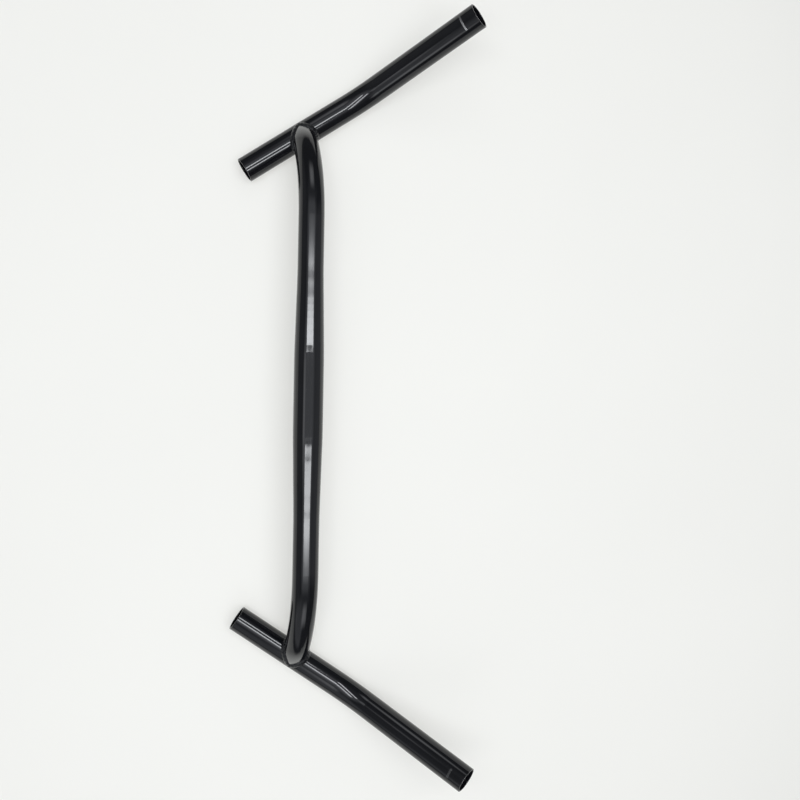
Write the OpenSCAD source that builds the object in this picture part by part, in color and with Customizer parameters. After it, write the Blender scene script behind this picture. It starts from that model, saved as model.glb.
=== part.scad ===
// Swept-back handlebar of welded steel tube, lying as it rests on a table.
// +X is the rider's right, +Y is forward and +Z is up. The origin is the centre
// of the stem clamp section. The left half mirrors the right one.

/* [Clamp section] */
// Outer diameter where the stem clamps
clamp_d = 25.4; // [23:0.1:26]
// Length of the clamp section at its full diameter
clamp_len = 60; // [40:1:80]
// Straight run at the plain diameter between each swage and its bend
plain_run = 42; // [20:1:50]

/* [Centre tube] */
// Outer diameter of the plain tube, here and in the grip tubes
tube_d = 22.2; // [18:0.1:22.8]
// Wall of the centre tube
centre_wall = 1.6; // [1:0.1:2.4]
// Distance between the two weld joints, centre to centre
width = 460; // [400:1:560]
// Radius of each end bend, on the tube's centreline
loop_r = 99.3; // [75:0.1:115]
// Angle that each end is bent down through, as far as its joint
loop_angle = 51.7; // [40:0.1:63]
// Forward lean of the plane that both end bends lie in
loop_lean = 9.5; // [0:0.1:14]

/* [Grip tubes] */
// Wall of the grip tubes
grip_wall = 1.2; // [1:0.1:2]
// Forward stub, from the joint's centre to its open end
stub_len = 61; // [45:0.1:80]
// Straight run from the joint's centre back to the bend
back_len = 43.7; // [30:0.1:60]
// Radius of the bend behind the joint, on the tube's centreline
grip_bend_r = 66.8; // [50:0.1:90]
// Angle that the grip is bent up through
grip_bend_angle = 31.8; // [20:0.1:42]
// Straight grip, from the bend to its open end
grip_len = 106.5; // [80:0.1:160]
// Angle between each stub and straight ahead, toed in towards the front
flare = 34; // [20:0.5:45]
// Inward lean of the plane that each grip is bent in
grip_lean = 2.9; // [0:0.1:10]
// Rounding of the cut rims, inside and out
rim_round = 0.4; // [0.1:0.05:0.45]

/* [Welds] */
// Gap between the coped end of the centre tube and the grip tube
cope_gap = 0.05; // [0.02:0.01:0.2]
// Reach of the weld bead along either tube from the seam
bead_reach = 2.6; // [1.5:0.1:4]
// Height of the bead where the two tubes run into each other in one line
bead_height = 1.1; // [0.6:0.1:1.6]
// Height of the bead's crown above the straight line between its toes in the corners
bead_crown = 0.4; // [0.1:0.1:0.8]
// Number of ripples round one bead
bead_ripples = 30; // [16:1:40]
// Share of the bead's height that a ripple takes up
ripple_depth = 0.22; // [0:0.01:0.4]
// Gap between the underside of the bead and the tubes
bead_seat = 0.03; // [0.02:0.01:0.1]

/* [Hidden] */
$fn = 96;

paint = [0.05, 0.05, 0.06];
bead_paint = [0.09, 0.09, 0.1];
tube_r = tube_d / 2;
// Sections of the swage, the share of it that eases in and out at either end, and how
// far the coping cut reaches to either side of the joint
swage_steps = 14;
swage_soft = 0.12;
cope_reach = 2 * tube_d;
// Each bend is thinner by a hair, and each straight run tapers to an end inside it
bend_shrink = 0.02;
splice = 0.4;
splice_taper = 0.1;
// Turn of the bend that is left off its end, so that the coped tips are blunt under the weld
tip_trim = 1.2;
// How far back round the end bend the seam is looked for, and how often that range is halved
seam_search = 30;
seam_steps = 24;

// Where each end bend starts, and the drop of the joint in the plane of the bend
bend_start = width / 2 - loop_r * sin(loop_angle);
joint_drop = loop_r * (1 - cos(loop_angle));
joint = [width / 2, joint_drop * sin(loop_lean), -joint_drop * cos(loop_lean)];

// Directions at the right joint: down in the plane of the end bend, square to that plane,
// and back along the grip tube
bend_down = [0, sin(loop_lean), -cos(loop_lean)];
bend_side = [0, cos(loop_lean), sin(loop_lean)];
grip_dir = [sin(flare), -cos(flare), 0];

function unit(v) = v / norm(v);
function lerp(a, b, t) = a + (b - a) * t;
// Straight ramp from 0 to 1 that starts and ends level, over the share soft at either end
function ramp(t, soft) =
    t < soft ? t * t / (2 * soft * (1 - soft)) :
    t > 1 - soft ? 1 - ramp(1 - t, soft) :
    (t - soft / 2) / (1 - soft);

// Outline of half the straight middle of the centre tube, as radius and length, less a wall
function middle_outline(wall) = concat(
    [[0, 0], [clamp_d / 2 - wall, 0]],
    [for (i = [0:swage_steps]) [lerp(clamp_d / 2, tube_r, ramp(i / swage_steps, swage_soft)) - wall,
                                lerp(clamp_len / 2, bend_start - plain_run, i / swage_steps)]],
    spliced_end(tube_r - wall, bend_start));

// Top of the outline of a run of radius r and length len, tapering to its end inside the bend above
function spliced_end(r, len) = [[r, len], [r - splice_taper, len + splice], [0, len + splice]];

// Bend of radius r round a centreline of radius bend_r, that starts level in the XY plane
module bend(r, bend_r, angle) {
    rotate_extrude(angle = angle)
        translate([bend_r, 0])
            circle(r = r - bend_shrink);
}

// The centre tube as one solid bar of its outer size, or of its bore for a wall, with its bends
// turned through angle
module centre_path(wall, angle) {
    for (side = [0, 1])
        mirror([side, 0, 0]) {
            rotate([0, 90, 0])
                rotate_extrude()
                    polygon(middle_outline(wall));
            translate([bend_start, 0, -loop_r])
                rotate([-90, -90, 0])
                    bend(tube_r - wall, loop_r, angle);
        }
}

// Puts its children in the right joint's frame: +X back along the grip tube, +Z up
module at_joint() {
    translate(joint)
        rotate([0, 0, flare - 90])
            children();
}

module centre_tube() {
    color(paint)
        difference() {
            rotate([loop_lean, 0, 0])
                difference() {
                    centre_path(0, loop_angle - tip_trim);
                    centre_path(centre_wall, loop_angle);
                }
            for (side = [0, 1])
                mirror([side, 0, 0])
                    at_joint()
                        rotate([0, 90, 0])
                            cylinder(h = 2 * cope_reach, r = tube_r + cope_gap, center = true);
        }
}

// Straight run of the grip tube, from its open end up to the bend at height len
module outer_run(len) {
    rotate_extrude() {
        polygon(concat([[0, rim_round], [tube_r, rim_round]], spliced_end(tube_r, len)));
        square([tube_r - rim_round, 2 * rim_round]);
        translate([tube_r - rim_round, rim_round])
            circle(r = rim_round);
    }
}

// Bore of the same run, which starts below the open end and rounds the rim's inner edge
module bore_run(len) {
    inner = tube_r - grip_wall;
    rotate_extrude() {
        polygon(concat([[0, -rim_round], [inner, -rim_round]], spliced_end(inner, len)));
        difference() {
            translate([0, -rim_round])
                square([inner + rim_round, 2 * rim_round]);
            translate([inner + rim_round, rim_round])
                circle(r = rim_round);
        }
    }
}

// Lays two runs and the bend between them along the grip tube's centreline. The children
// are the run from the stub's open end and the run from the grip's open end.
module along_grip_tube(r) {
    translate([-stub_len, 0, 0])
        rotate([0, 90, 0])
            children(0);
    translate([back_len, 0, grip_bend_r])
        rotate([90, 90, 0])
            bend(r, grip_bend_r, grip_bend_angle);
    translate([back_len, 0, grip_bend_r])
        rotate([0, -90 - grip_bend_angle, 0])
            translate([-grip_bend_r, 0, -grip_len])
                children(1);
}

// The right grip tube: open stub, bend and open grip
module grip_tube() {
    at_joint()
        rotate([grip_lean, 0, 0])
            difference() {
                along_grip_tube(tube_r) {
                    outer_run(back_len + stub_len);
                    outer_run(grip_len);
                }
                along_grip_tube(tube_r - grip_wall) {
                    bore_run(back_len + stub_len);
                    bore_run(grip_len);
                }
            }
}

module right_grip_tube() {
    color(paint) grip_tube();
}

module left_grip_tube() {
    color(paint) mirror([1, 0, 0]) grip_tube();
}

// The end bend, followed back from the joint. Everything here is relative to the right joint's
// centre, turn is the angle of the bend at that place and a the angle round the tube.
function bend_out(turn) = sin(turn) * [1, 0, 0] - cos(turn) * bend_down;
bend_centre = -loop_r * bend_out(loop_angle);
function tube_out(turn, a) = cos(a) * bend_out(turn) + sin(a) * bend_side;
function tube_point(turn, a) = bend_centre + loop_r * bend_out(turn) + tube_r * tube_out(turn, a);

// The seam where it meets the grip tube is found by halving the range of turn that it lies in
function off_grip(p) = norm(p - (p * grip_dir) * grip_dir) - tube_r;
function halved(a, clear, inside, steps) = let (mid = (clear + inside) / 2)
    steps == 0 ? mid :
    off_grip(tube_point(mid, a)) > 0 ? halved(a, mid, inside, steps - 1) : halved(a, clear, mid, steps - 1);
function seam_turn(a) = halved(a, loop_angle - seam_search, loop_angle, seam_steps);
function seam(a) = tube_point(seam_turn(a), a);
function seam_dir(a) = unit(seam(a + 0.5) - seam(a - 0.5));

// Point p moved straight out or in, to radius r from the grip tube's axis or from the bend's
// centreline
function on_grip(p, r) = let (c = (p * grip_dir) * grip_dir) c + r * unit(p - c);
function on_bend(p, r) =
    let (v = p - bend_centre, c = bend_centre + loop_r * unit(v - (v * bend_side) * bend_side))
    c + r * unit(p - c);

// One ring of the bead: the toe on the bend, its underside, the toe on the grip tube and the crown
crown_points = 5;
function bead_ring(a) =
    let (p = seam(a),
         bend_n = tube_out(seam_turn(a), a),
         grip_n = unit(p - (p * grip_dir) * grip_dir),
         up_bend = unit(cross(bend_n, seam_dir(a))),
         out_grip = unit(cross(seam_dir(a), grip_n)),
         level = pow(abs(bend_n * grip_n), 2),
         ripple = 1 - ripple_depth * (1 + cos(bead_ripples * a)) / 2,
         height = lerp(bead_crown, bead_height, level) * ripple,
         reach = bead_reach * (0.5 + 0.5 * ripple),
         under = tube_r + bead_seat,
         toe_bend = on_bend(p + reach * up_bend, under),
         toe_grip = on_grip(p + reach * out_grip, under),
         out = unit(bend_n + grip_n))
    concat(
        [toe_bend,
         on_bend(p + reach / 2 * up_bend, under),
         on_bend(p + bead_seat * out, under),
         on_grip(p + reach / 2 * out_grip, under),
         toe_grip],
        [for (i = [1:crown_points - 1]) let (t = i / crown_points)
            lerp(toe_grip, toe_bend, t) + 4 * t * (1 - t) * height * out]);

// The bead as a closed tube of rings round the seam
module bead() {
    stations = 4 * bead_ripples;
    rings = [for (i = [0:stations - 1]) bead_ring(360 * i / stations)];
    n = len(rings[0]);
    points = [for (ring = rings) each ring];
    faces = [for (i = [0:stations - 1], k = [0:n - 1])
        let (j = (i + 1) % stations, m = (k + 1) % n)
        each [[i * n + k, j * n + m, j * n + k], [i * n + k, i * n + m, j * n + m]]];
    translate(joint)
        polyhedron(points, faces, convexity = 6);
}

module right_weld_bead() {
    color(bead_paint) bead();
}

module left_weld_bead() {
    color(bead_paint) mirror([1, 0, 0]) bead();
}

centre_tube();
left_grip_tube();
right_grip_tube();
left_weld_bead();
right_weld_bead();
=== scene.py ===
import math

import bpy
from mathutils import Euler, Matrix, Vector


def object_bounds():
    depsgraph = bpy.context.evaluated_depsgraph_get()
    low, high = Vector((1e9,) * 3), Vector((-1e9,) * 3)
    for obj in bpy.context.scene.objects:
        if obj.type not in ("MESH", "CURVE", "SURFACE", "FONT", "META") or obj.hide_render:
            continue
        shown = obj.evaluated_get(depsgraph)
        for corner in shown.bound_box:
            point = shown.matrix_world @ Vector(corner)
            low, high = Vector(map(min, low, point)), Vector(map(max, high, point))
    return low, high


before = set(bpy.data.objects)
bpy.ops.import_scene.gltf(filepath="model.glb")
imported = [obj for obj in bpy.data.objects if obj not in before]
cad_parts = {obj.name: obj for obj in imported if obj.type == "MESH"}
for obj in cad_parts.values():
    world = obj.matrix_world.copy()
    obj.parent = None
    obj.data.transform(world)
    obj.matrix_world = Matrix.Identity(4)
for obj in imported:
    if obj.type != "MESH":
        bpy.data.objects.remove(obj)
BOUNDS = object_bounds()
LOW_Z = BOUNDS[0][2]


# ---- node helpers ----

def material(name):
    """A new material with one Principled shader."""
    mat = bpy.data.materials.new(name)
    mat.use_nodes = True
    tree = mat.node_tree
    tree.nodes.clear()
    out = tree.nodes.new("ShaderNodeOutputMaterial")
    shader = tree.nodes.new("ShaderNodeBsdfPrincipled")
    tree.links.new(shader.outputs["BSDF"], out.inputs["Surface"])
    return mat, tree, shader


def noise(tree, coord, scale, detail=3.0):
    node = tree.nodes.new("ShaderNodeTexNoise")
    node.inputs["Scale"].default_value = scale
    node.inputs["Detail"].default_value = detail
    node.inputs["Roughness"].default_value = 0.5
    tree.links.new(coord, node.inputs["Vector"])
    return node.outputs["Fac"]


def ramp(tree, fac, *stops):
    """Two stops, each a position and a colour."""
    node = tree.nodes.new("ShaderNodeValToRGB")
    for element, (position, colour) in zip(node.color_ramp.elements, stops):
        element.position, element.color = position, (*colour, 1.0)
    tree.links.new(fac, node.inputs["Fac"])
    return node.outputs["Color"]


def span(tree, fac, lo, hi, from_lo=0.3, from_hi=0.7, soft=False):
    """lo at from_lo, hi at from_hi, and level beyond them."""
    node = tree.nodes.new("ShaderNodeMapRange")
    if soft:
        node.interpolation_type = "SMOOTHSTEP"
    node.inputs["From Min"].default_value = from_lo
    node.inputs["From Max"].default_value = from_hi
    node.inputs["To Min"].default_value = lo
    node.inputs["To Max"].default_value = hi
    tree.links.new(fac, node.inputs["Value"])
    return node.outputs["Result"]


def mask(tree, value, lo, hi, soft):
    """1 from lo to hi, falling to 0 over soft on both sides."""
    return product(tree, span(tree, value, 0.0, 1.0, lo - soft, lo, True),
                   span(tree, value, 1.0, 0.0, hi, hi + soft, True))


def math_node(tree, op, a, b=None):
    node = tree.nodes.new("ShaderNodeMath")
    node.operation = op
    for socket, value in zip(node.inputs, (a, b)):
        if isinstance(value, (int, float)):
            socket.default_value = value
        elif value is not None:
            tree.links.new(value, socket)
    return node.outputs[0]


def product(tree, first, *others):
    for other in others:
        first = math_node(tree, "MULTIPLY", first, other)
    return first


def split(tree, vector):
    """The X, Y and Z sockets of a vector."""
    node = tree.nodes.new("ShaderNodeSeparateXYZ")
    tree.links.new(vector, node.inputs[0])
    return node.outputs


def along(tree, coord, origin, axis):
    """Distance of a point from origin along axis."""
    offset = tree.nodes.new("ShaderNodeVectorMath")
    offset.operation = "SUBTRACT"
    tree.links.new(coord, offset.inputs[0])
    offset.inputs[1].default_value = origin
    node = tree.nodes.new("ShaderNodeVectorMath")
    node.operation = "DOT_PRODUCT"
    tree.links.new(offset.outputs[0], node.inputs[0])
    node.inputs[1].default_value = axis
    return node.outputs["Value"]


def scaled(tree, colour, level):
    """A fixed colour times a level that varies."""
    node = tree.nodes.new("ShaderNodeVectorMath")
    node.operation = "SCALE"
    node.inputs[0].default_value = colour
    tree.links.new(level, node.inputs["Scale"])
    return node.outputs[0]


def bump(tree, height, strength, distance, normal=None):
    node = tree.nodes.new("ShaderNodeBump")
    node.inputs["Strength"].default_value = strength
    node.inputs["Distance"].default_value = distance
    tree.links.new(height, node.inputs["Height"])
    if normal is not None:
        tree.links.new(normal, node.inputs["Normal"])
    return node.outputs["Normal"]


# ---- paint ----

PAINT_DARK, PAINT_LIGHT = (0.0034, 0.0037, 0.0047), (0.0048, 0.0052, 0.0064)
PAINT_IOR = 1.5
TONE_SCALE, GLOSS_SCALE, PEEL_SCALE, GRAIN_SCALE = 70.0, 240.0, 260.0, 2600.0
PEEL_HEIGHT, GRAIN_HEIGHT = 0.0001, 0.00002

# End of each loop, in metres from the middle: where the bend tightens, how
# fast, which way it turns down, and where the paint grows glossier
END_X, END_CURVE = 0.2245, 9.0
END_WAY = (0.82, -0.095, 0.57)
END_COAT_FROM, END_COAT_TO = 0.2215, 0.2355
END_COAT_IOR, END_COAT_ROUGHNESS = 2.3, 0.06

# Rear end of the right grip: its centre, its axis, and two ways across it
GRIP_END = (0.32196, -0.13609, 0.02883)
GRIP_AXIS = (0.4532, -0.7195, 0.5263)
GRIP_SIDE = (-0.8462, -0.533, 0.0)
GRIP_UP = (-0.2805, 0.4453, 0.8503)
# Edge softness and grain of the painted lamp glint in the groove across each grip
GLINT_EDGE, GLINT_GRAIN = 0.0005, 1100.0


def paint_groove_glint(tree, coord, colour, groove_glint):
    """Paint a thin pale line across a grip over the colour: the groove there is real, its
    brightness is a painted glint of the lamp that fades across the grip.
    """
    end = groove_glint["end"]
    back = math_node(tree, "ADD", along(tree, coord, end, groove_glint["axis"]), groove_glint["from_end"])
    back = math_node(tree, "ABSOLUTE", back)
    across = along(tree, coord, end, groove_glint["side"])
    first, last = groove_glint["reach"]
    fac = product(
        tree,
        span(tree, back, 1.0, 0.0, groove_glint["width"] * 0.35, groove_glint["width"] * 0.6, True),
        mask(tree, across, first, last, GLINT_EDGE),
        span(tree, along(tree, coord, end, groove_glint["up"]), 0.0, 1.0, 0.0, 0.002, True),
        span(tree, across, groove_glint["dim"], 1.0, first, last),
        span(tree, noise(tree, coord, GLINT_GRAIN), 0.35, 1.0))
    mix = tree.nodes.new("ShaderNodeMix")
    mix.data_type = "RGBA"
    tree.links.new(fac, mix.inputs["Factor"])
    tree.links.new(colour, mix.inputs["A"])
    mix.inputs["B"].default_value = (groove_glint["glint_grey"],) * 3 + (1.0,)
    return mix.outputs["Result"]


def tighter_end(tree, coord, shader, normal):
    """Shade the tube as if its bend tightened just before the weld."""
    x = split(tree, coord)[0]
    reach = math_node(tree, "SUBTRACT", math_node(tree, "ABSOLUTE", x), END_X)
    reach = math_node(tree, "MAXIMUM", reach, 0.0)
    fall = product(tree, product(tree, reach, reach), -END_CURVE)
    face = split(tree, tree.nodes.new("ShaderNodeTexCoord").outputs["Normal"])
    outward = product(tree, face[0], math_node(tree, "SIGN", x))
    turned = math_node(tree, "ADD", product(tree, outward, END_WAY[0]),
                       product(tree, face[2], END_WAY[2]))
    turned = math_node(tree, "ADD", turned, product(tree, face[1], END_WAY[1]))
    turned = math_node(tree, "MAXIMUM", turned, 0.0)
    # the paint lies thicker and glossier there
    coat = span(tree, math_node(tree, "ABSOLUTE", x), 0.0, 1.0, END_COAT_FROM, END_COAT_TO)
    tree.links.new(coat, shader.inputs["Coat Weight"])
    shader.inputs["Coat IOR"].default_value = END_COAT_IOR
    shader.inputs["Coat Roughness"].default_value = END_COAT_ROUGHNESS
    return bump(tree, product(tree, fall, turned), 1.0, 1.0, normal)


def black_paint(name, rough, peel, grain, groove_glint=None, loop_ends=False):
    mat, tree, shader = material(name)
    coord = tree.nodes.new("ShaderNodeTexCoord").outputs["Object"]
    shader.inputs["IOR"].default_value = PAINT_IOR
    colour = ramp(tree, noise(tree, coord, TONE_SCALE), (0.3, PAINT_DARK), (0.7, PAINT_LIGHT))
    # paint the lamp's glint in the groove across the grip into the colour
    if groove_glint:
        colour = paint_groove_glint(tree, coord, colour, groove_glint)
    tree.links.new(colour, shader.inputs["Base Color"])
    gloss = span(tree, noise(tree, coord, GLOSS_SCALE), rough * 0.8, rough * 1.2)
    tree.links.new(gloss, shader.inputs["Roughness"])
    normal = bump(tree, noise(tree, coord, PEEL_SCALE, 2.0), peel, PEEL_HEIGHT)
    if loop_ends:
        normal = tighter_end(tree, coord, shader, normal)
    normal = bump(tree, noise(tree, coord, GRAIN_SCALE, 2.0), grain, GRAIN_HEIGHT, normal)
    tree.links.new(normal, shader.inputs["Normal"])
    return mat


def mirrored(v):
    return (-v[0], v[1], v[2])


# The real groove near each grip's rear end, with a painted glint as its brightness: bright and
# fading across on the right, faint on the left
right_groove_glint = dict(end=GRIP_END, axis=GRIP_AXIS, side=GRIP_SIDE, up=GRIP_UP, from_end=0.0133,
                  width=0.0017, reach=(-0.0079, 0.0056), dim=0.12, glint_grey=0.40)
left_groove_glint = dict(end=mirrored(GRIP_END), axis=mirrored(GRIP_AXIS),
                 side=(GRIP_SIDE[0], -GRIP_SIDE[1], 0.0), up=mirrored(GRIP_UP), from_end=0.0134,
                 width=0.0021, reach=(-0.0019, 0.0065), dim=1.0, glint_grey=0.055)
SMOOTH = (0.07, 0.025, 0.04)    # roughness, orange peel and grain on the tubes
OVER_WELD = (0.3, 0.8, 0.9)     # and over the weld beads
paints = {"centre_tube": black_paint("black_paint_centre", *SMOOTH, loop_ends=True),
          "right_grip_tube": black_paint("black_paint_right", *SMOOTH, groove_glint=right_groove_glint),
          "left_grip_tube": black_paint("black_paint_left", *SMOOTH, groove_glint=left_groove_glint)}
weld_paint = black_paint("black_paint_over_weld", *OVER_WELD)
for name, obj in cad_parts.items():
    obj.data.materials.clear()
    obj.data.materials.append(paints.get(name, weld_paint))

# ---- floor ----

FLOOR_SIZE = 8.0
FLOOR_TINT = (0.998, 0.994, 0.948)
FLOOR_ALBEDO, FLOOR_GLOW = 0.44, 0.43
FLOOR_SHADE_FADE = (0.45, 1.6)        # radii between which the floor darkens: painted falloff of light towards its edges
FLOOR_SHADE_FAR = 0.5                 # and the share of the painted light that is left beyond them

bpy.ops.mesh.primitive_plane_add(size=FLOOR_SIZE, location=(0, 0, LOW_Z))
floor = bpy.context.object
floor.name = "floor"
mat, tree, shader = material("pale_floor")
coord = tree.nodes.new("ShaderNodeTexCoord").outputs["Object"]
x, y, _ = split(tree, coord)
radius = math_node(tree, "ADD", math_node(tree, "POWER", x, 2.0), math_node(tree, "POWER", y, 2.0))
radius = math_node(tree, "SQRT", radius)
# slight random tone times a painted fall of light from the middle outward
tone_and_painted_falloff = product(tree, span(tree, noise(tree, coord, 3.0), 0.98, 1.0),
               span(tree, radius, 1.0, FLOOR_SHADE_FAR, *FLOOR_SHADE_FADE, True))
for level, socket in ((FLOOR_ALBEDO, "Base Color"), (FLOOR_GLOW, "Emission Color")):
    colour = scaled(tree, [level * t for t in FLOOR_TINT], tone_and_painted_falloff)
    tree.links.new(colour, shader.inputs[socket])
# the glow is only seen and mirrored, so it adds no light to the object
ray = tree.nodes.new("ShaderNodeLightPath").outputs
seen = math_node(tree, "MAXIMUM", ray["Is Glossy Ray"], ray["Is Transmission Ray"])
seen = math_node(tree, "MAXIMUM", ray["Is Camera Ray"], seen)
tree.links.new(seen, shader.inputs["Emission Strength"])
shader.inputs["Roughness"].default_value = 0.7
floor.data.materials.append(mat)

# ---- room ----

ROOM_TINT = (0.97, 1.0, 1.06)
ROOM_BASE = 0.10

world = bpy.data.worlds.new("room")
bpy.context.scene.world = world
world.use_nodes = True
room = world.node_tree
DX, DY, DZ = split(room, room.nodes.new("ShaderNodeTexCoord").outputs["Generated"])
AX = math_node(room, "ABSOLUTE", DX)


def glow(*parts):
    """Product of soft steps, each (socket, where it is 0, where it is 1)."""
    steps = [span(room, value, 0.0, 1.0, a, b, True) if a < b
             else span(room, value, 1.0, 0.0, b, a, True) for value, a, b in parts]
    return product(room, *steps)


total = ROOM_BASE
for level, parts in (
        (0.80, ((DZ, 0.68, 0.9), (AX, 0.5, 0.3))),          # ceiling between the lamps
        (0.15, ((AX, 0.3, 0.5), (DZ, 0.55, 0.8))),          # ceiling beyond them
        (0.45, ((DX, -0.35, -0.6), (DY, -0.05, 0.15),       # wall in front on the left
                (DZ, 0.05, 0.2), (DZ, 0.85, 0.6))),
        (0.12, ((DY, 0.6, 0.85),)),                         # wall in front
        (0.32, ((DY, -0.5, -0.8), (AX, 0.4, 0.1)))):        # wall behind
    total = math_node(room, "ADD", product(room, glow(*parts), level), total)
background = room.nodes["Background"].inputs
room.links.new(scaled(room, ROOM_TINT, total), background["Color"])
background["Strength"].default_value = 1.0

# ---- lamps ----

LAMP_COLOUR = (0.98, 1.0, 1.03)
DOWN = (0.0, 0.0, -1.0)


def lamp_nodes(light):
    light.use_nodes = True
    return light.node_tree, light.node_tree.nodes["Emission"].inputs["Strength"]


def panel(name, at, size_x, size_y, radiance, face):
    """An area lamp that faces a way and doesn't show to the camera."""
    light = bpy.data.lights.new(name, "AREA")
    light.shape = "RECTANGLE"
    light.size, light.size_y = size_x, size_y
    light.color = LAMP_COLOUR
    light.energy = radiance * math.pi * size_x * size_y
    obj = bpy.data.objects.new(name, light)
    obj.location = at
    obj.rotation_euler = Vector(face).to_track_quat("-Z", "Y").to_euler()
    obj.visible_camera = False
    bpy.context.collection.objects.link(obj)
    return light


def soft_panel(*settings):
    """A panel that fades from its middle to its edges."""
    tree, strength = lamp_nodes(panel(*settings))
    place = split(tree, tree.nodes.new("ShaderNodeNewGeometry").outputs["Parametric"])
    fades = []
    for i in (0, 1):
        off = math_node(tree, "ABSOLUTE", math_node(tree, "SUBTRACT", place[i], 0.5))
        fades.append(span(tree, off, 1.0, 0.0, 0.08, 0.5, True))
    tree.links.new(product(tree, *fades), strength)


# Two strip lamps above, brightest near their inner edges and fading outward:
# distance from the middle and level there
STRIP_Y, STRIP_Z, STRIP_LENGTH = -0.04, 1.5, 1.42
STRIPS = (
    ("right", 1, ((0.19, 15.5), (0.25, 13.0), (0.30, 9.5), (0.32, 6.5), (0.34, 4.0),
                  (0.365, 2.2), (0.39, 1.0), (0.46, 0.0))),
    ("left", -1, ((0.19, 10.5), (0.31, 11.2), (0.335, 7.5), (0.36, 5.2), (0.378, 3.0),
                  (0.395, 2.0), (0.42, 1.4), (0.52, 1.0), (0.62, 0.0))))
for side, sign, stops in STRIPS:
    inner, outer = stops[0][0], stops[-1][0]
    at = (sign * (inner + outer) / 2, STRIP_Y, STRIP_Z)
    strip = panel("strip_" + side, at, outer - inner, STRIP_LENGTH, 1.0, DOWN)
    tree, strength = lamp_nodes(strip)
    place = split(tree, tree.nodes.new("ShaderNodeNewGeometry").outputs["Position"])
    distance = math_node(tree, "ABSOLUTE", place[0])
    level = stops[0][1]
    for (a, level_a), (b, level_b) in zip(stops, stops[1:]):
        step = span(tree, distance, 0.0, level_b - level_a, a, b)
        level = math_node(tree, "ADD", step, level)
    tree.links.new(level, strength)
# Low soft boxes at both sides and a small one in front
for side, sign in (("right", 1), ("left", -1)):
    soft_panel("side_" + side, (sign * 0.64, -0.02, 0.43), 0.46, 0.40, 1.6, (-sign, 0.0, -0.6))
soft_panel("front", (-0.02, 0.36, 0.49), 0.34, 0.26, 1.2, (0.0, -0.55, -0.7))

# ---- camera ----

# Fitted to the outlines of the tubes in the photograph
CAMERA_AT = (-0.0062295, 0.0607553, 0.8838826)
CAMERA_TURN = (0.050862, -8.968231, -89.004836)

cam = bpy.data.cameras.new("camera")
cam.sensor_width = 36.0
cam.lens = 46.801
cam_obj = bpy.data.objects.new("camera", cam)
cam_obj.location = CAMERA_AT
cam_obj.rotation_euler = Euler([math.radians(a) for a in CAMERA_TURN], "XYZ")
bpy.context.collection.objects.link(cam_obj)
bpy.context.scene.camera = cam_obj
bpy.context.scene.view_settings.view_transform = "Standard"
